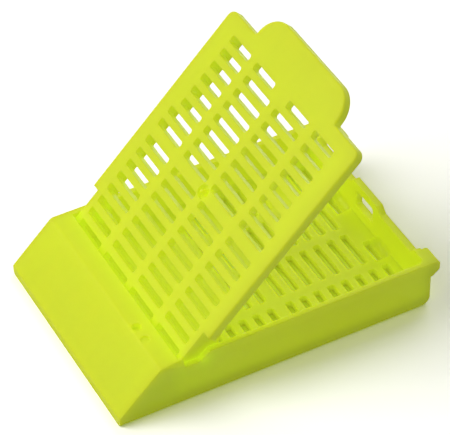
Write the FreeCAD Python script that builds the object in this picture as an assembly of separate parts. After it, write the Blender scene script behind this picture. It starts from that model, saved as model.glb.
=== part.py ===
"""Tissue cassette: a slotted tray with a slanted writing face, and a slotted lid hinged to it.

Millimetres, +Z up. The writing face looks towards -X, the thumb tab of the lid towards +X.
The origin lies under the middle of the object, on the surface that it rests on.

Both pieces are laid out with x = 0 at the blunt front edge of the tray, and are moved to
the origin at the end. The lid is drawn closed, then opened about its hinge pins.
"""
import math
import os

import FreeCAD
import Part

# ---------------------------------------------------------------- tray, outside
body_length = 41.0
body_width = 28.5
body_height = 6.65
front_edge_height = 1.3
front_edge_radius = 0.3
writing_angle = 45.0
crest_radius = 0.8
rear_bottom_radius = 1.2
rear_corner_radius = 0.5

# ---------------------------------------------------------------- tray, walls, floor and ledge
side_wall = 0.7
rear_wall = 0.9
front_wall = 0.8
front_edge_wall = 0.9
face_thickness = 1.0
ledge_thickness = 1.0
ledge_length = 2.5
ledge_undercut = 0.65
floor_thickness = 1.0
floor_rise = 0.7
chamber_corner_radius = 0.5

# ---------------------------------------------------------------- slots, shared by floor and lid
slot_width = 0.95
slot_corner_cut = 0.18
slot_pitch = 1.875
group_step = 2.52
rear_row_inset = 1.5
front_row_inset = 2.5
centre_web = 1.2
column_web = 1.3
slot_side_margin = 1.05
inner_column_share = 0.514
short_rows = 6
short_inner_slot_start = 1.6

# ---------------------------------------------------------------- tray, rear end
rear_dip = 0.83
rear_dip_slope = 1.0
latch_post_width = 5.5
rear_post_width = 2.95
window_width = 3.9
window_bottom = 3.2
window_top_drop = 1.05
window_corner_radius = 0.35
ear_reach = 0.95
ear_height = 2.1
ear_tip_height = 1.3
ear_radius = 0.45
scoop_centre_y = 4.65
scoop_width = 3.6
scoop_radius = 0.85
scoop_depth = 0.7
scoop_bite = 0.3
drain_width = 1.1
drain_gap = 0.85

# ---------------------------------------------------------------- tray, ledge and hinge side
mark_diameter = 1.1
mark_inset = 0.7
mark_depth = 0.7
mark_side_inset = 7.4
faint_mark_depth = 0.2
faint_mark_side_inset = 5.15
notch_depth = 1.1
notch_inset = 0.5
notch_to_pin = 0.7
notch_rise_angle = 40.0
ledge_side_drop = 0.85

# ---------------------------------------------------------------- hinge
pivot_inset = 3.2
pivot_drop = 1.35
pin_diameter = 0.8
pin_clearance = 0.06
pin_end_clearance = 0.05
socket_depth = 0.4
hinge_side_clearance = 0.1
open_angle = 45.7

# ---------------------------------------------------------------- lid
lid_thickness = 1.1
lid_side_overhang = 0.325
lid_end_overhang = 0.1
lid_front_clearance = 1.1
closing_gap = 0.07
narrow_length = 4.97
lid_corner_radius = 1.0
lid_notch_radius = 0.25
lid_edge_radius = 0.2
tab_width = 18.0
tab_reach = 3.55
tab_corner_radius = 3.2
skirt_thickness = 0.65
skirt_depth = 1.0
skirt_end_gap = 0.6
guide_rail_thickness = 0.7
guide_rail_inset = 1.8
knuckle_radius = 1.0
arm_foot_length = 1.95
arm_foot_rise = 0.3
arm_length = 4.55
gate_diameter = 1.8
gate_depth = 0.55
gate_nub_base = 0.9
gate_nub_tip = 0.35
gate_nub_proud = 0.35
rest_bar_thickness = 0.75
rest_bar_clearance = 0.35
hook_side_clearance = 0.45
hook_thickness = 0.75
hook_gap = 0.15
hook_reach = 0.25
hook_drop = 0.45
barb_height = 0.9

# ---------------------------------------------------------------- values that follow from them
slope = math.tan(math.radians(writing_angle))
half_width = body_width / 2
inner_half_width = half_width - side_wall
wall_middle_y = inner_half_width + side_wall / 2
crest_x = (body_height - front_edge_height) / slope
ledge_edge_x = crest_x + ledge_length
chamber_front = ledge_edge_x - ledge_undercut
chamber_rear = body_length - rear_wall
floor_top = floor_rise + floor_thickness

rear_row_x = chamber_rear - rear_row_inset
rows_room = rear_row_x - group_step - chamber_front - front_row_inset
rows_per_group = int(rows_room / (2 * slot_pitch)) + 1
bar_x = rear_row_x - (rows_per_group - 1) * slot_pitch - group_step / 2
inner_slot_start = centre_web / 2
column_room = inner_half_width - inner_slot_start - column_web - slot_side_margin
inner_slot_end = inner_slot_start + column_room * inner_column_share
outer_slot_start = inner_slot_end + column_web
outer_slot_end = inner_half_width - slot_side_margin

rear_rim = body_height - rear_dip
dip_run = rear_dip * rear_dip_slope
dip_start = latch_post_width / 2
dip_end = half_width - rear_post_width
window_top = body_height - window_top_drop
notch_start = ledge_edge_x + notch_inset

pivot_x = ledge_edge_x + pivot_inset
pivot_z = body_height - pivot_drop
notch_end = pivot_x - notch_to_pin
pin_radius = pin_diameter / 2
hinge_half_width = inner_half_width - hinge_side_clearance

lid_bottom = body_height + closing_gap
lid_top = lid_bottom + lid_thickness
lid_middle = lid_bottom + lid_thickness / 2
lid_front_x = ledge_edge_x + lid_front_clearance
lid_end_x = body_length + lid_end_overhang
wide_start_x = lid_front_x + narrow_length
wide_half_width = half_width + lid_side_overhang
skirt_bottom = lid_bottom - skirt_depth
skirt_end_x = chamber_rear - skirt_end_gap
skirt_inner_y = hinge_half_width - skirt_thickness
guide_rail_y = hinge_half_width - guide_rail_inset
arm_back_x = pivot_x + arm_length
hook_half_width = window_width / 2 - hook_side_clearance

overall_length = body_length + ear_reach
overlap = 1.0
beyond = 5.0


def vec(x, y, z):
    return FreeCAD.Vector(x, y, z)


def box(x0, x1, y0, y1, z0, z1):
    """An upright box between two corners."""
    return Part.makeBox(x1 - x0, y1 - y0, z1 - z0, vec(x0, y0, z0))


def prism(ring, way):
    """A closed outline of points, extruded along a vector."""
    return Part.Face(Part.makePolygon(ring + ring[:1])).extrude(way)


def prism_y(profile, y0, y1):
    """A side profile of (x, z) points, extruded across the width."""
    return prism([vec(x, y0, z) for x, z in profile], vec(0, y1 - y0, 0))


def prism_x(profile, x0, x1):
    """A front profile of (y, z) points, extruded along the length."""
    return prism([vec(x0, y, z) for y, z in profile], vec(x1 - x0, 0, 0))


def both_sides(shape):
    """A shape and its mirror image on the other side of the centreline."""
    return [shape, shape.mirror(vec(0, 0, 0), vec(0, 1, 0))]


def near(a, b):
    return abs(a - b) < 1e-4


def along(component):
    """Whether an edge runs along the axis of this component of its direction."""
    return near(abs(component), 1)


def rounded(shape, radius, wanted):
    """Rounds the edges that a test of their middle point and direction picks."""
    edges = []
    for edge in shape.Edges:
        half_way = (edge.FirstParameter + edge.LastParameter) / 2
        if wanted(edge.valueAt(half_way), edge.tangentAt(half_way)):
            edges.append(edge)
    return shape.makeFillet(radius, edges)


# ------------------------------------------------------------------------ slots
def row_positions():
    """The x of each row of slots, from the rear row forwards, in two groups."""
    rear = [rear_row_x - i * slot_pitch for i in range(rows_per_group)]
    front = [rear[-1] - group_step - i * slot_pitch for i in range(rows_per_group)]
    return rear + front


def slot(x0, x1, y0, y1, z0, z1):
    """An upright cut with small slanted corners."""
    cut = slot_corner_cut
    ring = [
        vec(x0 + cut, y0, z0),
        vec(x1 - cut, y0, z0),
        vec(x1, y0 + cut, z0),
        vec(x1, y1 - cut, z0),
        vec(x1 - cut, y1, z0),
        vec(x0 + cut, y1, z0),
        vec(x0, y1 - cut, z0),
        vec(x0, y0 + cut, z0),
    ]
    return prism(ring, vec(0, 0, z1 - z0))


def slot_pair(x, y0, y1, z0, z1):
    """One slot of a row and its mirror image."""
    return both_sides(slot(x - slot_width / 2, x + slot_width / 2, y0, y1, z0, z1))


def floor_slots(z0, z1):
    """Four columns of slots. The drains take the place of the rear row's inner slots."""
    cuts = []
    for number, x in enumerate(row_positions()):
        if number > 0:
            cuts += slot_pair(x, inner_slot_start, inner_slot_end, z0, z1)
        cuts += slot_pair(x, outer_slot_start, outer_slot_end, z0, z1)
    return cuts


def lid_slots(z0, z1):
    """The same four columns, shorter beside the latch hook and the guide rails."""
    cuts = []
    for number, x in enumerate(row_positions()):
        inner_start = short_inner_slot_start if number == 0 else inner_slot_start
        outer_end = guide_rail_y if number < short_rows else outer_slot_end
        cuts += slot_pair(x, inner_start, inner_slot_end, z0, z1)
        cuts += slot_pair(x, outer_slot_start, outer_end, z0, z1)
    return cuts


# ------------------------------------------------------------------------ tray
def tray_outside():
    """The solid outline: blunt front edge, writing face, level top and upright rear."""
    profile = [
        (0, 0),
        (0, front_edge_height),
        (crest_x, body_height),
        (body_length, body_height),
        (body_length, 0),
    ]
    solid = prism_y(profile, -half_width, half_width)
    solid = rounded(
        solid, crest_radius, lambda at, way: near(at.x, crest_x) and near(at.z, body_height)
    )
    solid = rounded(
        solid, rear_bottom_radius, lambda at, way: near(at.x, body_length) and near(at.z, 0)
    )
    solid = rounded(
        solid, rear_corner_radius, lambda at, way: near(at.x, body_length) and along(way.z)
    )
    return rounded(
        solid, front_edge_radius, lambda at, way: near(at.x, 0) and near(at.z, front_edge_height)
    )


def ear():
    """The flared rear corner, which carries the side wall on past the rear wall."""
    tip = body_length + ear_reach
    profile = [
        (chamber_rear, body_height),
        (tip, body_height),
        (tip, body_height - ear_tip_height),
        (body_length, body_height - ear_height),
        (chamber_rear, body_height - ear_height),
    ]
    solid = prism_y(profile, dip_end, half_width)
    solid = rounded(solid, ear_radius, lambda at, way: near(at.x, tip) and near(at.y, dip_end))
    return rounded(solid, ear_radius, lambda at, way: near(at.x, tip) and along(way.y))


def chamber():
    """The space for the specimen, with the ledge leaning over its front wall."""
    profile = [
        (chamber_front, floor_top),
        (chamber_rear, floor_top),
        (chamber_rear, body_height + beyond),
        (ledge_edge_x, body_height + beyond),
        (ledge_edge_x, body_height),
        (chamber_front, body_height - ledge_undercut),
    ]
    solid = prism_y(profile, -inner_half_width, inner_half_width)
    return rounded(
        solid, chamber_corner_radius, lambda at, way: near(at.x, chamber_rear) and along(way.z)
    )


def wedge_hollow():
    """The hollow under the writing face, open below."""
    skin_z = front_edge_height - face_thickness / math.cos(math.radians(writing_angle))
    top = body_height - ledge_thickness
    rear = chamber_front - front_wall
    profile = [
        (front_edge_wall, -beyond),
        (front_edge_wall, skin_z + slope * front_edge_wall),
        ((top - skin_z) / slope, top),
        (rear, top),
        (rear, -beyond),
    ]
    return prism_y(profile, -inner_half_width, inner_half_width)


def under_floor():
    """The shallow space below the floor, inside the rim that the tray stands on."""
    rear = chamber_rear - rear_wall
    return box(chamber_front, rear, -inner_half_width, inner_half_width, -beyond, floor_rise)


def rear_dips():
    """The rear wall is lower between its corner posts and its latch post."""
    profile = [
        (dip_start, body_height),
        (dip_start + dip_run, rear_rim),
        (dip_end - dip_run, rear_rim),
        (dip_end, body_height),
        (dip_end, body_height + beyond),
        (dip_start, body_height + beyond),
    ]
    return both_sides(prism_x(profile, chamber_rear - rear_wall, body_length + beyond))


def latch_window():
    """The window through the latch post."""
    half = window_width / 2
    front = chamber_rear - rear_wall
    solid = box(front, body_length + beyond, -half, half, window_bottom, window_top)
    return rounded(solid, window_corner_radius, lambda at, way: along(way.x))


def drains():
    """Two wide slots near the rear wall, each with a round-ended scoop behind it at its foot."""
    start = scoop_centre_y - scoop_width / 2
    end = scoop_centre_y + scoop_width / 2
    x = chamber_rear + scoop_bite - scoop_radius
    z = floor_top - scoop_depth + scoop_radius
    left = vec(x, start + scoop_radius, z)
    right = vec(x, end - scoop_radius, z)
    scoop = Part.makeCylinder(scoop_radius, right.y - left.y, left, vec(0, 1, 0))
    scoop = scoop.fuse([Part.makeSphere(scoop_radius, middle) for middle in (left, right)])
    rear = chamber_rear - drain_gap
    opening = slot(rear - drain_width, rear, start, end, -beyond, floor_top + beyond)
    return both_sides(scoop) + both_sides(opening)


def ledge_marks():
    """A round hole and a shallow round mark in the ledge, on one side only."""
    cuts = []
    for depth, inset in ((mark_depth, mark_side_inset), (faint_mark_depth, faint_mark_side_inset)):
        foot = vec(crest_x + mark_inset, inset - half_width, body_height - depth)
        cuts.append(Part.makeCylinder(mark_diameter / 2, depth + beyond, foot))
    return cuts


def hinge_notch():
    """The dip in one side wall, over which the second hinge pin is sprung in."""
    floor = body_height - notch_depth
    run = (notch_depth + beyond) / math.tan(math.radians(notch_rise_angle))
    profile = [
        (notch_start, floor),
        (notch_end, floor),
        (notch_end + run, body_height + beyond),
        (notch_start, body_height + beyond),
    ]
    return prism_y(profile, -half_width - beyond, overlap - inner_half_width)


def ledge_side_slope():
    """Beside the ledge the top of that wall slopes down to the dip."""
    crest = vec(crest_x, -half_width, body_height)
    low = vec(notch_start, -half_width, body_height - ledge_side_drop)
    high = vec(notch_start, -wall_middle_y, body_height)
    return prism([crest, low, high], vec(0, 0, beyond))


def hinge_sockets():
    """Blind sockets in the inner faces of the side walls, for the hinge pins."""
    mouth = vec(pivot_x, inner_half_width - overlap, pivot_z)
    radius = pin_radius + pin_clearance
    return both_sides(Part.makeCylinder(radius, overlap + socket_depth, mouth, vec(0, 1, 0)))


def make_base():
    solid = tray_outside().fuse(both_sides(ear()))
    cuts = [chamber(), wedge_hollow(), under_floor(), latch_window(), hinge_notch(), ledge_side_slope()]
    cuts += rear_dips()
    cuts += drains()
    cuts += ledge_marks()
    cuts += hinge_sockets()
    cuts += floor_slots(floor_rise - beyond, floor_top + beyond)
    return solid.cut(cuts).removeSplitter()


# ------------------------------------------------------------------------ lid, drawn closed
def lid_plate():
    """The plate: narrow between the side walls at the hinge, wide over them, and the thumb tab."""
    half_tab = tab_width / 2
    tab_end_x = lid_end_x + tab_reach
    narrow_end_x = wide_start_x + overlap
    tab_root_x = lid_end_x - lid_corner_radius - overlap
    narrow = box(lid_front_x, narrow_end_x, -hinge_half_width, hinge_half_width, lid_bottom, lid_top)
    wide = box(wide_start_x, lid_end_x, -wide_half_width, wide_half_width, lid_bottom, lid_top)
    wide = rounded(wide, lid_corner_radius, lambda at, way: near(at.x, lid_end_x) and along(way.z))
    tab = box(tab_root_x, tab_end_x, -half_tab, half_tab, lid_bottom, lid_top)
    tab = rounded(tab, tab_corner_radius, lambda at, way: near(at.x, tab_end_x) and along(way.z))
    plate = narrow.fuse([wide, tab]).removeSplitter()
    plate = rounded(
        plate,
        lid_notch_radius,
        lambda at, way: near(at.x, lid_end_x) and near(abs(at.y), half_tab) and along(way.z),
    )
    return rounded(plate, lid_edge_radius, lambda at, way: near(at.z, lid_top) and at.x > wide_start_x)


def lid_arm():
    """One side of the hinge: a deep arm that narrows to the skirt, with a knuckle round the pin."""
    heel = knuckle_radius * math.sin(math.radians(45))
    foot_z = pivot_z - knuckle_radius
    top_front = vec(pivot_x - knuckle_radius, skirt_inner_y, lid_middle)
    knuckle_front = vec(pivot_x - knuckle_radius, skirt_inner_y, pivot_z)
    knuckle_heel = vec(pivot_x - heel, skirt_inner_y, pivot_z - heel)
    knuckle_foot = vec(pivot_x, skirt_inner_y, foot_z)
    foot = vec(pivot_x + arm_foot_length, skirt_inner_y, foot_z + arm_foot_rise)
    back = vec(arm_back_x, skirt_inner_y, skirt_bottom)
    top_back = vec(arm_back_x, skirt_inner_y, lid_middle)
    edges = [
        Part.makeLine(top_front, knuckle_front),
        Part.Arc(knuckle_front, knuckle_heel, knuckle_foot).toShape(),
        Part.makeLine(knuckle_foot, foot),
        Part.makeLine(foot, back),
        Part.makeLine(back, top_back),
        Part.makeLine(top_back, top_front),
    ]
    return Part.Face(Part.Wire(edges)).extrude(vec(0, skirt_thickness, 0))


def hinge_pin():
    """One hinge pin, standing out of its arm."""
    root = skirt_inner_y + skirt_thickness / 2
    tip = inner_half_width + socket_depth - pin_end_clearance
    return Part.makeCylinder(pin_radius, tip - root, vec(pivot_x, root, pivot_z), vec(0, 1, 0))


def lid_skirt():
    """The thin skirt just inside the side wall."""
    return box(
        arm_back_x - overlap, skirt_end_x, skirt_inner_y, hinge_half_width, skirt_bottom, lid_middle
    )


def guide_rail():
    """The rail beside the rear rows, which keeps the lid's free end in line with the tray."""
    start_x = rear_row_x - (short_rows - 0.5) * slot_pitch
    outer_y = guide_rail_y + guide_rail_thickness
    return box(start_x, skirt_end_x, guide_rail_y, outer_y, skirt_bottom, lid_middle)


def rest_bar():
    """The bar under the lid's end that fills the dip of the rear rim."""
    y0 = dip_start + dip_run + rest_bar_clearance
    y1 = dip_end - dip_run - rest_bar_clearance
    return box(body_length - rest_bar_thickness, body_length, y0, y1, rear_rim + closing_gap, lid_middle)


def latch_hook():
    """The springy hook whose barb snaps into the window of the latch post."""
    back = chamber_rear - hook_gap
    front = back - hook_thickness
    barb_x = chamber_rear + hook_reach
    barb_top = window_top - hook_drop
    barb_bottom = barb_top - barb_height
    profile = [
        (front, lid_middle),
        (front, barb_bottom),
        (back, barb_bottom),
        (barb_x, barb_top - hook_gap),
        (barb_x, barb_top),
        (back, barb_top),
        (back, lid_middle),
    ]
    return prism_y(profile, -hook_half_width, hook_half_width)


def gate_recess():
    """The round recess of the moulding gate, in the middle of the cross bar."""
    foot = vec(bar_x, 0, lid_top - gate_depth)
    return Part.makeCylinder(gate_diameter / 2, gate_depth + beyond, foot)


def gate_nub():
    """The broken end of the gate, a blunt cone in the recess."""
    foot = vec(bar_x, 0, lid_top - gate_depth)
    return Part.makeCone(gate_nub_base / 2, gate_nub_tip / 2, gate_depth + gate_nub_proud, foot)


def make_lid():
    solid = lid_plate()
    for piece in (lid_arm(), hinge_pin(), lid_skirt(), guide_rail(), rest_bar()):
        solid = solid.fuse(both_sides(piece))
    solid = solid.fuse(latch_hook())
    solid = solid.cut(lid_slots(skirt_bottom - beyond, lid_top + beyond) + [gate_recess()])
    solid = solid.fuse(gate_nub()).removeSplitter()
    solid.rotate(vec(pivot_x, 0, pivot_z), vec(0, -1, 0), open_angle)
    return solid


# ------------------------------------------------------------------------ files
def write(name, shape):
    """Moves a piece to the origin and writes it."""
    piece = shape.copy()
    piece.translate(vec(-overall_length / 2, 0, 0))
    solid = piece.Solids[0]
    print(name, "solids", len(piece.Solids), "valid", solid.isValid(), "volume", round(solid.Volume, 2))
    solid.exportStep("parts/" + name + ".step")


os.makedirs("parts", exist_ok=True)
write("base", make_base())
write("lid", make_lid())
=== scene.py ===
from math import pi, radians

import bpy
from mathutils import Euler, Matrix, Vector


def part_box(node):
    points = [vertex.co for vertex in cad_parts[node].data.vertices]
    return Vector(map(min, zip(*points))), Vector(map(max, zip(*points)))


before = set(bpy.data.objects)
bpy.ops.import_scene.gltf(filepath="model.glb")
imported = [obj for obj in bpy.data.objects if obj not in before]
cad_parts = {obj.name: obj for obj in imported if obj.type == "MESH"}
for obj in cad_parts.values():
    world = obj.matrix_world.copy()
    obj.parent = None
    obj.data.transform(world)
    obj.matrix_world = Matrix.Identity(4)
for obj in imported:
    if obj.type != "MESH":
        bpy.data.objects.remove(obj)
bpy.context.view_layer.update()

# ---------------------------------------------------------------- settings
# Lengths are in metres, angles in degrees and lamp powers in watts.
# Noise scales are in cells per metre.

# Acetal
FACE_YELLOW = (0.755, 0.83, 0.004)
DEEP_YELLOW = (0.72, 0.80, 0.003)
# Painted light: the pieces give off an even yellow-green glow of this colour and strength, though
# they are no lamp, so that their shaded walls and hollows show brighter
PAINTED_LIGHT_COLOUR = (0.71, 0.88, 0.055)
PAINTED_LIGHT_STRENGTH = 0.205
IOR = 1.48
SPECULAR_LEVEL = 0.15
SCATTER_COLOUR = (1.0, 1.0, 0.15)
SCATTER_DEPTH = 0.0025
ROUGHNESS = (0.34, 0.42)
EDGE_RADIUS = 0.00016
EDGE_SAMPLES = 6

CLOUD_SCALE = 160.0
FLOW_SCALE = (60.0, 420.0, 260.0)
CLOUD_SHARE = 0.6
FLOW_SHARE = 0.4
TONE_RANGE = (0.35, 0.65)
CLOUD_RANGE = (0.3, 0.7)

GRAIN_SCALE = 5200.0
GRAIN_DEPTH = 0.00006
GRAIN_STRENGTH = 0.12
WAVE_SCALE = 420.0
WAVE_DEPTH = 0.0002
WAVE_STRENGTH = 0.10

# Writing face: it lies in front of the crest, and its normal leans forward.
CREST_FROM_FRONT = 0.00535
CREST_BLEND = 0.0004
FORWARD_LEAN = (-0.5, -0.65)
WRITING_ROUGHNESS = 0.22
WRITING_GRAIN = 0.35

# Floor: it shows as white where it is open. Where the object shelters it, it shows painted shade,
# darker and tinted yellow-green as if lit through the plastic
FLOOR_SIZE = 3.0
FLOOR_WHITE = (0.30, 0.30, 0.29)
BACKDROP_WHITE = (1.92, 1.90, 1.86)
PAINTED_FLOOR_SHADE = (1.40, 1.45, 0.47)
PAINTED_SHADE_REACH = 0.008
PAINTED_SHADE_RANGE = (0.15, 0.45)
PAINTED_SHADE_SAMPLES = 8

# Light: the world shows as white and lights the object with less
WORLD_LIGHT = 0.193
WORLD_WHITE = (1.0, 1.0, 1.0, 1.0)
# Each lamp has a power, a diameter and a place, and points at the origin
SOFTBOXES = {
    "key_softbox": (2.14, 0.5, (-0.46, 0.23, 0.48)),
    "fill_softbox": (0.48, 0.6, (-0.6, 0.20, 0.30)),
    "back_softbox": (0.75, 0.5, (0.42, 0.30, 0.50)),
}
DIFFUSE_BOUNCES = 10

# Camera, at the photograph's view
LENS = 209.71
SENSOR_WIDTH = 36.0
CLIP_RANGE = (0.01, 10.0)
TARGET = (0.0000153, -0.0004077, 0.0116216)
DISTANCE = 0.3034737
AZIMUTH = 27.592
ELEVATION = 43.110
ROLL = -0.896


# ---------------------------------------------------------------- node helpers
class Graph:
    """A short way to write a node tree. A value is a number, a colour or another node's output."""

    def __init__(self, tree):
        self.tree = tree
        tree.nodes.clear()

    def feed(self, node, socket, value):
        """Set or link the input that has this name or index."""
        if isinstance(value, bpy.types.NodeSocket):
            self.tree.links.new(value, node.inputs[socket])
        else:
            node.inputs[socket].default_value = value

    def add(self, kind, settings=None, **inputs):
        node = self.tree.nodes.new(kind)
        for name, value in (settings or {}).items():
            setattr(node, name, value)
        for name, value in inputs.items():
            self.feed(node, name.replace("_", " "), value)
        return node

    def noise(self, place, **inputs):
        return self.add("ShaderNodeTexNoise", Vector=place, **inputs).outputs[0]

    def bump(self, normal, height, strength, depth):
        node = self.add(
            "ShaderNodeBump",
            Strength=strength, Distance=depth, Height=height, Normal=normal,
        )
        return node.outputs[0]

    def x_part(self, vector):
        return self.add("ShaderNodeSeparateXYZ", Vector=vector).outputs["X"]

    def math(self, operation, *values):
        node = self.add("ShaderNodeMath", {"operation": operation})
        for index, value in enumerate(values):
            self.feed(node, index, value)
        return node.outputs[0]

    def ramp(self, source, span, ends=(0.0, 1.0)):
        """Map the span of the source to the ends, and keep to the ends outside it."""
        node = self.add(
            "ShaderNodeMapRange",
            Value=source, From_Min=span[0], From_Max=span[1], To_Min=ends[0], To_Max=ends[1],
        )
        return node.outputs[0]

    def mix(self, factor, first, second):
        node = self.add("ShaderNodeMix", {"data_type": "RGBA"})
        self.feed(node, 0, factor)
        for index, colour in ((6, first), (7, second)):
            self.feed(node, index, (*colour, 1.0) if isinstance(colour, tuple) else colour)
        return node.outputs[2]


def new_material(name):
    material = bpy.data.materials.new(name)
    material.use_nodes = True
    return material, Graph(material.node_tree)


# ---------------------------------------------------------------- materials
def on_writing_face(g, place, crest):
    """1 on the slope in front of the crest, and 0 elsewhere."""
    normal = g.add("ShaderNodeNewGeometry").outputs["Normal"]
    in_front = g.ramp(g.x_part(place), (crest, crest - CREST_BLEND))
    leaning = g.ramp(g.x_part(normal), FORWARD_LEAN)
    return g.math("MULTIPLY", in_front, leaning)


def acetal(name, crest=None):
    """Fluorescent yellow acetal, as moulded: faintly waxy, with fine spark-eroded grain. It also
    gives off an even glow, which is painted light: it stands in for the pigment's fluorescence and
    brightens shaded faces and hollows as much as lit ones. In front of the crest, the writing face
    is matte, so that it takes a pencil."""
    material, g = new_material(name)
    place = g.add("ShaderNodeTexCoord").outputs["Object"]
    cloud = g.noise(place, Scale=CLOUD_SCALE, Detail=3.0, Roughness=0.5)
    streaks = g.add("ShaderNodeMapping", Vector=place, Scale=FLOW_SCALE).outputs[0]
    flow = g.noise(streaks, Scale=1.0, Detail=2.0)
    grain = g.noise(place, Scale=GRAIN_SCALE, Detail=2.0, Roughness=0.6)
    waves = g.noise(place, Scale=WAVE_SCALE, Detail=1.0)

    tone = g.math(
        "ADD",
        g.math("MULTIPLY", cloud, CLOUD_SHARE),
        g.math("MULTIPLY", flow, FLOW_SHARE),
    )
    colour = g.mix(g.ramp(tone, TONE_RANGE), DEEP_YELLOW, FACE_YELLOW)

    roughness = g.ramp(cloud, CLOUD_RANGE, ROUGHNESS)
    grain_strength = GRAIN_STRENGTH
    if crest is not None:
        face = on_writing_face(g, place, crest)
        added = g.math("MULTIPLY", face, WRITING_ROUGHNESS)
        roughness = g.math("ADD", roughness, added)
        grain_strength = g.ramp(face, (0.0, 1.0), (GRAIN_STRENGTH, WRITING_GRAIN))

    rounded = g.add("ShaderNodeBevel", {"samples": EDGE_SAMPLES}, Radius=EDGE_RADIUS).outputs[0]
    grained = g.bump(rounded, grain, grain_strength, GRAIN_DEPTH)
    wavy = g.bump(grained, waves, WAVE_STRENGTH, WAVE_DEPTH)
    # The emission is painted light, an even glow that brightens the shade on every face
    skin = g.add(
        "ShaderNodeBsdfPrincipled",
        {"subsurface_method": "RANDOM_WALK"},
        Base_Color=colour, Roughness=roughness, Normal=wavy,
        IOR=IOR, Specular_IOR_Level=SPECULAR_LEVEL,
        Subsurface_Weight=1.0, Subsurface_Radius=SCATTER_COLOUR, Subsurface_Scale=SCATTER_DEPTH,
        Emission_Color=(*PAINTED_LIGHT_COLOUR, 1.0), Emission_Strength=PAINTED_LIGHT_STRENGTH,
    )
    g.add("ShaderNodeOutputMaterial", Surface=skin.outputs[0])
    return material


def seen_directly(g):
    """1 for the rays that show a surface itself, and 0 for those that it lights."""
    path = g.add("ShaderNodeLightPath").outputs
    seen = g.math("MAXIMUM", path["Is Camera Ray"], path["Is Glossy Ray"])
    return g.math("MAXIMUM", seen, path["Is Transmission Ray"])


def paper_floor():
    """A plain pale floor that shows as white and keeps the object's shadow. Where the object
    stands close above it, painted shade makes it darker and yellow-green.
    """
    material, g = new_material("floor_white")
    openness = g.add(
        "ShaderNodeAmbientOcclusion",
        {"samples": PAINTED_SHADE_SAMPLES},
        Distance=PAINTED_SHADE_REACH,
    ).outputs["AO"]
    # Painted shade: where ambient occlusion finds the object close above, the floor shows the
    # darker yellow-green instead of white
    shown = g.mix(g.ramp(openness, PAINTED_SHADE_RANGE), PAINTED_FLOOR_SHADE, BACKDROP_WHITE)
    colour = g.mix(seen_directly(g), FLOOR_WHITE, shown)
    matte = g.add("ShaderNodeBsdfDiffuse", Color=colour)
    g.add("ShaderNodeOutputMaterial", Surface=matte.outputs[0])
    return material


# ---------------------------------------------------------------- pieces
def dress(piece, material):
    piece.data.materials.clear()
    piece.data.materials.append(material)


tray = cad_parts["base"]
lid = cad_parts["lid"]
crest_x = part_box("base")[0][0] + CREST_FROM_FRONT
dress(tray, acetal("acetal_tray", crest_x))
dress(lid, acetal("acetal_lid"))


# ---------------------------------------------------------------- floor, light and camera
def make_floor():
    mesh = bpy.data.meshes.new("floor")
    half = FLOOR_SIZE / 2
    corners = [(-half, -half, 0), (half, -half, 0), (half, half, 0), (-half, half, 0)]
    mesh.from_pydata(corners, [], [(0, 1, 2, 3)])
    floor = bpy.data.objects.new("floor", mesh)
    bpy.context.scene.collection.objects.link(floor)
    mesh.materials.append(paper_floor())


def make_world():
    world = bpy.data.worlds.new("studio")
    bpy.context.scene.world = world
    world.use_nodes = True
    g = Graph(world.node_tree)
    strength = g.ramp(seen_directly(g), (0.0, 1.0), (WORLD_LIGHT, 1.0))
    light = g.add("ShaderNodeBackground", Color=WORLD_WHITE, Strength=strength)
    g.add("ShaderNodeOutputWorld", Surface=light.outputs[0])


def make_softbox(name, power, size, place):
    data = bpy.data.lights.new(name, "AREA")
    data.energy = power
    data.shape = "DISK"
    data.size = size
    lamp = bpy.data.objects.new(name, data)
    lamp.location = place
    lamp.rotation_euler = (-Vector(place)).to_track_quat("-Z", "Y").to_euler()
    bpy.context.scene.collection.objects.link(lamp)


def make_camera():
    data = bpy.data.cameras.new("camera")
    data.lens = LENS
    data.sensor_width = SENSOR_WIDTH
    data.clip_start, data.clip_end = CLIP_RANGE
    camera = bpy.data.objects.new("camera", data)
    turn = Euler((pi / 2 - radians(ELEVATION), 0.0, -radians(AZIMUTH))).to_matrix()
    turn = turn @ Euler((0.0, 0.0, radians(ROLL))).to_matrix()
    camera.rotation_euler = turn.to_euler()
    camera.location = Vector(TARGET) + turn @ Vector((0.0, 0.0, DISTANCE))
    bpy.context.scene.collection.objects.link(camera)
    bpy.context.scene.camera = camera


make_floor()
make_world()
for name, (power, size, place) in SOFTBOXES.items():
    make_softbox(name, power, size, place)
make_camera()
bpy.context.scene.view_settings.view_transform = "Standard"
bpy.context.scene.cycles.diffuse_bounces = DIFFUSE_BOUNCES
